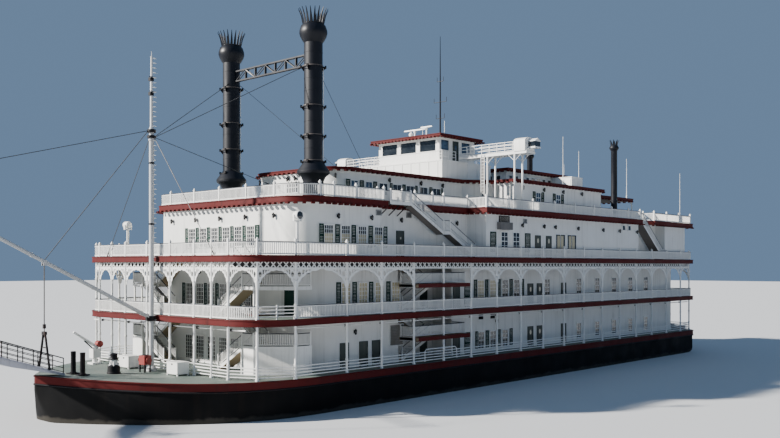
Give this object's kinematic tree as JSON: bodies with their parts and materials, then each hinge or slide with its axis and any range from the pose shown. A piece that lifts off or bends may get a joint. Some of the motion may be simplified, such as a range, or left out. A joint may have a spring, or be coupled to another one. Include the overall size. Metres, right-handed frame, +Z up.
{
  "type": "sternwheel river boat, 1:10 scale model",
  "caption": "Sternwheel passenger river boat at one tenth scale, with galleried decks, tall stacks, a pilothouse, a slewing boom and a hoisted landing stage.",
  "frame": {"origin": "on the flat bottom of the hull, amidships on the centreline", "axes": "+X towards the bow, +Y to port, +Z up"},
  "size_m": [10.7175, 2.9, 3.975],
  "materials": {
    "hull_black": "worn satin paint with rust runs",
    "guard_maroon": "faded satin paint",
    "house_white": "weathered satin paint",
    "roof_grey": "matt deck paint",
    "stack_black": "satin black paint",
    "spar_white": "weathered satin paint",
    "wire": "greased wire rope",
    "stage_grey": "dull metal",
    "fittings_black": "painted casting",
    "machine_red": "satin paint"
  },
  "bodies": {
    "boat": {"hull": "hull_black", "main_deck": "guard_maroon", "deck_2": "guard_maroon", "deck_3": "guard_maroon", "deck_4": "guard_maroon", "house_1": "house_white", "house_2": "house_white", "house_3": "house_white", "texas_house": "house_white", "texas_roof": "roof_grey", "pilothouse_base": "house_white", "pilothouse": "house_white", "pilothouse_roof": "guard_maroon", "bridge_wing_port": "house_white", "bridge_wing_starboard": "house_white", "gallery_1_port": "house_white", "gallery_1_starboard": "house_white", "gallery_2_port": "house_white", "gallery_2_starboard": "house_white", "rail_3_port": "house_white", "rail_3_starboard": "house_white", "rail_4_port": "house_white", "rail_4_starboard": "house_white", "front_stairs_1_port": "house_white", "front_stairs_1_starboard": "house_white", "front_stairs_2_port": "house_white", "front_stairs_2_starboard": "house_white", "side_stairs_1_port": "house_white", "side_stairs_1_starboard": "house_white", "side_stairs_2_port": "house_white", "side_stairs_2_starboard": "house_white", "deck_4_stairs_port": "house_white", "deck_4_stairs_starboard": "house_white", "stack_port": "stack_black", "stack_starboard": "stack_black", "stack_truss": "stack_black", "aft_stack_port": "stack_black", "aft_stack_starboard": "stack_black", "stage_mast": "spar_white", "mast_stays": "wire", "searchlight_port": "spar_white", "searchlight_starboard": "spar_white", "aerials": "spar_white", "bitt_port": "fittings_black", "bitt_starboard": "fittings_black", "capstan": "fittings_black", "winch": "machine_red", "jib_crane": "spar_white", "chest_port": "house_white", "chest_starboard": "house_white", "wheel_beam_port": "hull_black", "wheel_beam_starboard": "hull_black", "aft_canopy": "house_white"},
    "wheel": {"paddle_wheel": "machine_red"},
    "rudder_port": {"rudder_port": "hull_black"},
    "rudder_starboard": {"rudder_starboard": "hull_black"},
    "boom": {"boom": "spar_white", "fall_inner": "wire", "fall_outer": "wire"},
    "stage": {"landing_stage": "stage_grey"}
  },
  "joints": [
    {"name": "wheel_turn", "type": "hinge", "parent": "boat", "child": "wheel", "pos_m": [-4.76, 0, 0.47], "axis": [0, 1, 0], "continuous": true},
    {"name": "rudder_steer", "type": "hinge", "parent": "boat", "child": "rudder_port", "pos_m": [-4.15, 0.45, 0.1], "axis": [0, 0, 1], "range_deg": [-40, 40]},
    {"name": "rudder_steer_starboard", "type": "hinge", "parent": "boat", "child": "rudder_starboard", "pos_m": [-4.15, -0.45, 0.1], "axis": [0, 0, 1], "range_deg": [-40, 40]},
    {"name": "boom_slew", "type": "hinge", "parent": "boat", "child": "boom", "pos_m": [3.335, 0, 0.928], "axis": [0, 0, 1], "range_deg": [-60, 60]},
    {"name": "stage_hoist", "type": "slide", "parent": "boom", "child": "stage", "axis": [0, 0, 1], "range_m": [0, 0.2], "deforming": ["fall_inner", "fall_outer"]}
  ],
  "couplings": [
    {"joint": "rudder_steer_starboard", "follows": "rudder_steer", "ratio": 1}
  ]
}
